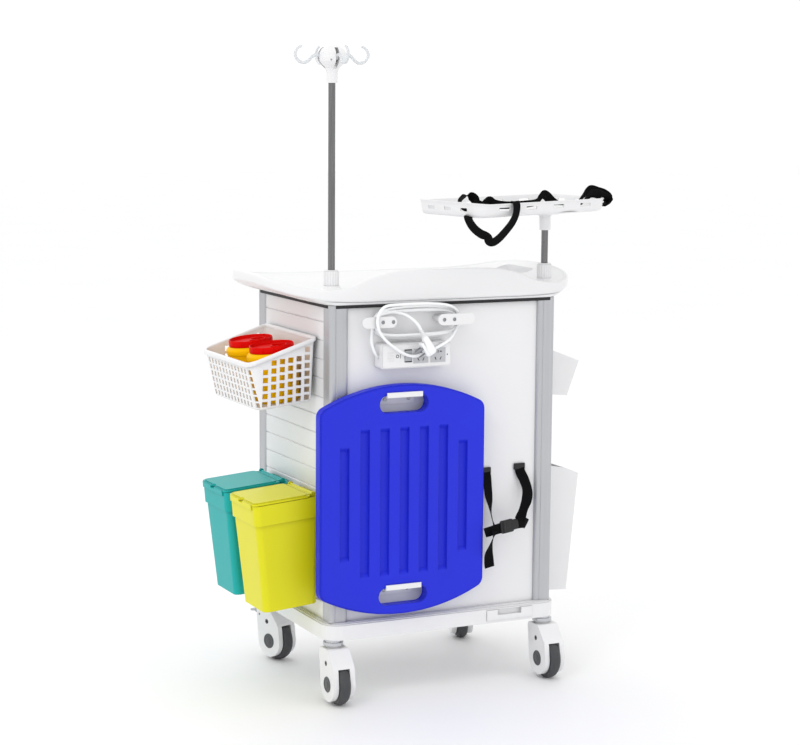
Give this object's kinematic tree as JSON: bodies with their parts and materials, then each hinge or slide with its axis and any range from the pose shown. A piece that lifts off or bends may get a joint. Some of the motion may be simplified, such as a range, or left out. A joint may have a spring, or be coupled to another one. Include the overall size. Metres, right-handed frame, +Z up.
{
  "type": "hospital emergency trolley",
  "caption": "White hospital emergency trolley seen from behind, with drawers, infusion pole, swivelling defibrillator shelf, blue compression board, side bins and a power strip.",
  "frame": {"origin": "on the floor, under the middle of the cabinet", "axes": "+Z up, +Y towards the back panel with the board, drawers open towards -Y, +X towards the bins and the sharps basket"},
  "size_m": [0.8905, 0.605, 1.507],
  "materials": {
    "abs_white": "gloss",
    "drawer_front": "gloss",
    "anodised": "satin",
    "screw_steel": "satin",
    "webbing": "matte",
    "chrome_race": "polished",
    "lock_metal": "polished",
    "pole_steel": "satin",
    "clear_plastic": "clear",
    "blue_plastic": "satin",
    "grey_plastic": "matte",
    "cord_white": "satin",
    "plug_white": "satin",
    "yellow_plastic": "gloss",
    "red_plastic": "gloss",
    "bin_yellow": "satin",
    "bin_teal": "satin",
    "tyre_grey": "matte"
  },
  "bodies": {
    "trolley": {"base_tray": "abs_white", "corner_columns": "anodised", "side_panel_right": "abs_white", "side_panel_left": "abs_white", "back_panel": "abs_white", "cabinet_frame": "anodised", "worktop": "abs_white", "cord_hooks": "abs_white", "board_hooks": "abs_white", "power_strip": "abs_white", "panel_screws": "screw_steel", "cylinder_strap": "webbing", "caster_races": "chrome_race", "container_rails": "anodised", "cord_lead": "cord_white", "cord_coil": "cord_white", "cord_front_turn": "cord_white", "cord_tail": "cord_white", "mains_plug": "plug_white"},
    "drawer_1": {"drawer_1": "drawer_front"},
    "drawer_2": {"drawer_2": "drawer_front"},
    "drawer_3": {"drawer_3": "drawer_front"},
    "drawer_4": {"drawer_4": "drawer_front"},
    "drawer_5": {"drawer_5": "drawer_front"},
    "central_lock": {"central_lock": "lock_metal"},
    "iv_collar": {"iv_collar": "abs_white"},
    "iv_pole": {"iv_pole": "pole_steel", "iv_head": "abs_white"},
    "iv_hook_1": {"iv_hook_1": "clear_plastic"},
    "iv_hook_2": {"iv_hook_2": "clear_plastic"},
    "iv_hook_3": {"iv_hook_3": "clear_plastic"},
    "iv_hook_4": {"iv_hook_4": "clear_plastic"},
    "shelf_collar": {"shelf_collar": "abs_white"},
    "shelf_post": {"shelf_post": "pole_steel"},
    "shelf_tray": {"shelf_tray": "abs_white", "tray_straps": "webbing"},
    "cpr_board": {"cpr_board": "blue_plastic"},
    "rocker_switch": {"rocker_switch": "grey_plastic"},
    "cylinder_support": {"cylinder_support": "abs_white"},
    "sharps_basket": {"sharps_basket": "abs_white"},
    "sharps_tub_1": {"sharps_tub_1": "yellow_plastic"},
    "sharps_lid_1": {"sharps_lid_1": "red_plastic"},
    "sharps_tub_2": {"sharps_tub_2": "yellow_plastic"},
    "sharps_lid_2": {"sharps_lid_2": "red_plastic"},
    "yellow_bin": {"yellow_bin": "bin_yellow"},
    "yellow_lid": {"yellow_lid": "bin_yellow"},
    "teal_bin": {"teal_bin": "bin_teal"},
    "teal_lid": {"teal_lid": "bin_teal"},
    "upper_box": {"upper_box": "abs_white"},
    "lower_box": {"lower_box": "abs_white"},
    "caster_fork_1": {"caster_fork_1": "abs_white"},
    "caster_wheel_1": {"caster_wheel_1": "tyre_grey"},
    "caster_fork_2": {"caster_fork_2": "abs_white"},
    "caster_wheel_2": {"caster_wheel_2": "tyre_grey"},
    "caster_fork_3": {"caster_fork_3": "abs_white"},
    "caster_wheel_3": {"caster_wheel_3": "tyre_grey"},
    "brake_pedal_1": {"brake_pedal_1": "grey_plastic"},
    "caster_fork_4": {"caster_fork_4": "abs_white"},
    "caster_wheel_4": {"caster_wheel_4": "tyre_grey"},
    "brake_pedal_2": {"brake_pedal_2": "grey_plastic"}
  },
  "joints": [
    {"name": "drawer_1_slide", "type": "slide", "parent": "trolley", "child": "drawer_1", "axis": [0, -1, 0], "range_m": [0, 0.33]},
    {"name": "drawer_2_slide", "type": "slide", "parent": "trolley", "child": "drawer_2", "axis": [0, -1, 0], "range_m": [0, 0.33]},
    {"name": "drawer_3_slide", "type": "slide", "parent": "trolley", "child": "drawer_3", "axis": [0, -1, 0], "range_m": [0, 0.33]},
    {"name": "drawer_4_slide", "type": "slide", "parent": "trolley", "child": "drawer_4", "axis": [0, -1, 0], "range_m": [0, 0.33]},
    {"name": "drawer_5_slide", "type": "slide", "parent": "trolley", "child": "drawer_5", "axis": [0, -1, 0], "range_m": [0, 0.33]},
    {"name": "lock_turn", "type": "hinge", "parent": "drawer_1", "child": "central_lock", "pos_m": [0.196, -0.222, 0.8915], "axis": [0, -1, 0], "range_deg": [0, 90]},
    {"name": "iv_collar_turn", "type": "hinge", "parent": "trolley", "child": "iv_collar", "pos_m": [0.277, 0.19, 0.985], "axis": [0, 0, 1], "range_deg": [0, 180]},
    {"name": "iv_pole_height", "type": "slide", "parent": "trolley", "child": "iv_pole", "axis": [0, 0, 1], "range_m": [-0.3, 0.15]},
    {"name": "iv_hook_1_fold", "type": "hinge", "parent": "iv_pole", "child": "iv_hook_1", "pos_m": [0.302, 0.19, 1.48], "axis": [0, 1, 0], "range_deg": [-60, 0]},
    {"name": "iv_hook_2_fold", "type": "hinge", "parent": "iv_pole", "child": "iv_hook_2", "pos_m": [0.277, 0.215, 1.48], "axis": [-1, 0, 0], "range_deg": [-60, 0]},
    {"name": "iv_hook_3_fold", "type": "hinge", "parent": "iv_pole", "child": "iv_hook_3", "pos_m": [0.252, 0.19, 1.48], "axis": [0, -1, 0], "range_deg": [-60, 0]},
    {"name": "iv_hook_4_fold", "type": "hinge", "parent": "iv_pole", "child": "iv_hook_4", "pos_m": [0.277, 0.165, 1.48], "axis": [1, 0, 0], "range_deg": [-60, 0]},
    {"name": "shelf_collar_turn", "type": "hinge", "parent": "trolley", "child": "shelf_collar", "pos_m": [-0.277, 0.19, 0.985], "axis": [0, 0, 1], "range_deg": [0, 180]},
    {"name": "shelf_height", "type": "slide", "parent": "trolley", "child": "shelf_post", "axis": [0, 0, 1], "range_m": [-0.04, 0.1]},
    {"name": "shelf_swivel", "type": "hinge", "parent": "shelf_post", "child": "shelf_tray", "pos_m": [-0.277, 0.19, 1.1], "axis": [0, 0, 1], "continuous": true},
    {"name": "board_lift", "type": "slide", "parent": "trolley", "child": "cpr_board", "axis": [0, 0, 1], "range_m": [0, 0.03]},
    {"name": "rocker_tip", "type": "hinge", "parent": "trolley", "child": "rocker_switch", "pos_m": [0.111, 0.247, 0.806], "axis": [1, 0, 0], "range_deg": [0, 12]},
    {"name": "support_pull", "type": "slide", "parent": "trolley", "child": "cylinder_support", "axis": [0, 1, 0], "range_m": [0, 0.1]},
    {"name": "basket_lift", "type": "slide", "parent": "trolley", "child": "sharps_basket", "axis": [0, 0, 1], "range_m": [0, 0.025]},
    {"name": "sharps_tub_1_lift", "type": "slide", "parent": "sharps_basket", "child": "sharps_tub_1", "axis": [0.1149, 0, 0.9934], "range_m": [0, 0.06]},
    {"name": "sharps_lid_1_turn", "type": "hinge", "parent": "sharps_tub_1", "child": "sharps_lid_1", "pos_m": [0.37579, 0.075, 0.8119], "axis": [0.1149, 0, 0.9934], "continuous": true},
    {"name": "sharps_tub_2_lift", "type": "slide", "parent": "sharps_basket", "child": "sharps_tub_2", "axis": [0.1149, 0, 0.9934], "range_m": [0, 0.06]},
    {"name": "sharps_lid_2_turn", "type": "hinge", "parent": "sharps_tub_2", "child": "sharps_lid_2", "pos_m": [0.37579, -0.055, 0.8119], "axis": [0.1149, 0, 0.9934], "continuous": true},
    {"name": "yellow_bin_lift", "type": "slide", "parent": "trolley", "child": "yellow_bin", "axis": [0, 0, 1], "range_m": [0, 0.06]},
    {"name": "yellow_lid_open", "type": "hinge", "parent": "yellow_bin", "child": "yellow_lid", "pos_m": [0.31338, 0.105, 0.48667], "axis": [0, -1, 0], "range_deg": [0, 90]},
    {"name": "teal_bin_lift", "type": "slide", "parent": "trolley", "child": "teal_bin", "axis": [0, 0, 1], "range_m": [0, 0.06]},
    {"name": "teal_lid_open", "type": "hinge", "parent": "teal_bin", "child": "teal_lid", "pos_m": [0.31338, -0.079, 0.48667], "axis": [0, -1, 0], "range_deg": [0, 90]},
    {"name": "upper_box_lift", "type": "slide", "parent": "trolley", "child": "upper_box", "axis": [0, 0, 1], "range_m": [0, 0.05]},
    {"name": "lower_box_lift", "type": "slide", "parent": "trolley", "child": "lower_box", "axis": [0, 0, 1], "range_m": [0, 0.05]},
    {"name": "caster_1_swivel", "type": "hinge", "parent": "trolley", "child": "caster_fork_1", "pos_m": [0.277, 0.206, 0.14], "axis": [0, 0, 1], "continuous": true},
    {"name": "caster_1_roll", "type": "hinge", "parent": "caster_fork_1", "child": "caster_wheel_1", "pos_m": [0.277, 0.234, 0.05], "axis": [1, 0, 0], "continuous": true},
    {"name": "caster_2_swivel", "type": "hinge", "parent": "trolley", "child": "caster_fork_2", "pos_m": [-0.277, 0.206, 0.14], "axis": [0, 0, 1], "continuous": true},
    {"name": "caster_2_roll", "type": "hinge", "parent": "caster_fork_2", "child": "caster_wheel_2", "pos_m": [-0.277, 0.234, 0.05], "axis": [1, 0, 0], "continuous": true},
    {"name": "caster_3_swivel", "type": "hinge", "parent": "trolley", "child": "caster_fork_3", "pos_m": [0.266, -0.21, 0.14], "axis": [0, 0, 1], "continuous": true},
    {"name": "caster_3_roll", "type": "hinge", "parent": "caster_fork_3", "child": "caster_wheel_3", "pos_m": [0.25735, -0.18337, 0.05], "axis": [0.9511, 0.309, 0], "continuous": true},
    {"name": "brake_pedal_1_press", "type": "hinge", "parent": "caster_fork_3", "child": "brake_pedal_1", "pos_m": [0.26847, -0.21761, 0.112], "axis": [0.9511, 0.309, 0], "range_deg": [0, 12]},
    {"name": "caster_4_swivel", "type": "hinge", "parent": "trolley", "child": "caster_fork_4", "pos_m": [-0.266, -0.21, 0.14], "axis": [0, 0, 1], "continuous": true},
    {"name": "caster_4_roll", "type": "hinge", "parent": "caster_fork_4", "child": "caster_wheel_4", "pos_m": [-0.25735, -0.18337, 0.05], "axis": [0.9511, -0.309, 0], "continuous": true},
    {"name": "brake_pedal_2_press", "type": "hinge", "parent": "caster_fork_4", "child": "brake_pedal_2", "pos_m": [-0.26847, -0.21761, 0.112], "axis": [0.9511, -0.309, 0], "range_deg": [0, 12]}
  ]
}
